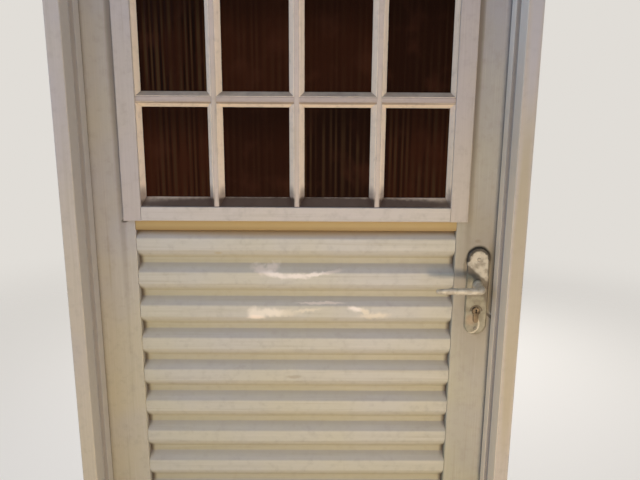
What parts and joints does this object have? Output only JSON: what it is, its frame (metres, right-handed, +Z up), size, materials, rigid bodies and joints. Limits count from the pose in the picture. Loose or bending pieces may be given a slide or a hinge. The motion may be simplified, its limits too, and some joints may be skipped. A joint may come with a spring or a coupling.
{
  "type": "steel stable door with frame",
  "caption": "Grey steel stable door in its folded frame: ribbed lower panel, top-hung glazed sash with bars, lever handles on long plates and a cylinder lock.",
  "frame": {"origin": "floor level, at the middle of the frame's width and of the whole depth over the two levers", "axes": "+X towards the lock jamb, +Y into the house, +Z up"},
  "size_m": [0.87, 0.16, 2.17],
  "materials": {
    "frame_paint": "satin grey paint, brushed on, dusty",
    "leaf_paint": "satin grey paint, brushed on, dusty",
    "panel_paint": "satin grey paint over pressed sheet, chipped in places",
    "sash_paint": "satin grey paint, brushed on",
    "hinge_paint": "satin grey paint",
    "glass": "bronze tinted, softly reeded upright",
    "handle_metal": "worn bright, paint at the foot",
    "cylinder_brass": "dulled",
    "lock_steel": "zinc plated",
    "screw_steel": "zinc plated"
  },
  "bodies": {
    "frame": {"jamb_left": "frame_paint", "jamb_right": "frame_paint", "head": "frame_paint", "strike_plate": "lock_steel", "strike_screws": "screw_steel", "frame_knuckle_bottom": "hinge_paint", "frame_knuckle_middle": "hinge_paint", "frame_knuckle_top": "hinge_paint", "hinge_pin_bottom": "lock_steel", "hinge_pin_middle": "lock_steel", "hinge_pin_top": "lock_steel", "hinge_washers": "cylinder_brass"},
    "leaf": {"hinge_stile": "leaf_paint", "lock_stile": "leaf_paint", "top_rail": "leaf_paint", "mid_rail": "leaf_paint", "bottom_rail": "leaf_paint", "ribbed_panel": "panel_paint", "leaf_knuckle_bottom": "hinge_paint", "leaf_knuckle_middle": "hinge_paint", "leaf_knuckle_top": "hinge_paint", "sash_hinge_leaf_halves": "hinge_paint", "lock_case": "lock_steel", "faceplate": "lock_steel", "faceplate_screws": "screw_steel", "cylinder_body": "cylinder_brass", "cylinder_screw": "screw_steel", "outer_escutcheon": "handle_metal", "inner_escutcheon": "handle_metal", "escutcheon_screws": "screw_steel", "lever_spring": "lock_steel"},
    "sash": {"sash_stile_left": "sash_paint", "sash_stile_right": "sash_paint", "sash_top_rail": "sash_paint", "sash_bottom_rail": "sash_paint", "upright_bar_1": "sash_paint", "upright_bar_2": "sash_paint", "upright_bar_3": "sash_paint", "cross_bar_1": "sash_paint", "cross_bar_2": "sash_paint", "cross_bar_3": "sash_paint", "panes_row_1": "glass", "panes_row_2": "glass", "panes_row_3": "glass", "panes_row_4": "glass", "glazing_putty": "sash_paint", "sash_hinge_sash_halves": "hinge_paint", "sash_hinge_pins": "lock_steel", "catch_post": "hinge_paint"},
    "catch": {"catch_turn": "hinge_paint"},
    "lever": {"outer_lever": "handle_metal", "inner_lever": "handle_metal", "spindle": "lock_steel", "follower": "lock_steel"},
    "latch": {"latch_bolt": "lock_steel"},
    "bolt": {"dead_bolt": "lock_steel"},
    "key_barrel": {"outer_plug": "cylinder_brass", "inner_plug": "cylinder_brass", "cylinder_cam": "lock_steel"}
  },
  "joints": [
    {"name": "leaf_swing", "type": "hinge", "parent": "frame", "child": "leaf", "pos_m": [-0.411, 0.0333, 1.075], "axis": [0, 0, 1], "range_deg": [0, 105]},
    {"name": "sash_swing", "type": "hinge", "parent": "leaf", "child": "sash", "pos_m": [0, -0.0183, 2.0758], "axis": [-1, 0, 0], "range_deg": [0, 40]},
    {"name": "catch_turning", "type": "hinge", "parent": "sash", "child": "catch", "pos_m": [0, 0.0238, 1.24], "axis": [0, 1, 0], "range_deg": [0, 90]},
    {"name": "lever_turn", "type": "hinge", "parent": "leaf", "child": "lever", "pos_m": [0.366, 0.0055, 1.075], "axis": [0, -1, 0], "range_deg": [0, 45], "stiffness_Nm_per_rad": 0.6, "springref_deg": -57.3, "deforming": ["lever_spring"]},
    {"name": "latch_slide", "type": "slide", "parent": "leaf", "child": "latch", "axis": [-1, 0, 0], "range_m": [0, 0.011]},
    {"name": "key_turn", "type": "hinge", "parent": "leaf", "child": "key_barrel", "pos_m": [0.366, 0.0055, 1.02], "axis": [0, 1, 0], "range_deg": [0, 360]},
    {"name": "bolt_slide", "type": "slide", "parent": "leaf", "child": "bolt", "axis": [1, 0, 0], "range_m": [0, 0.018]}
  ],
  "couplings": [
    {"joint": "latch_slide", "follows": "lever_turn", "m_per_rad": 0.014},
    {"joint": "key_turn", "follows": "bolt_slide", "rad_per_m": 349.06}
  ]
}
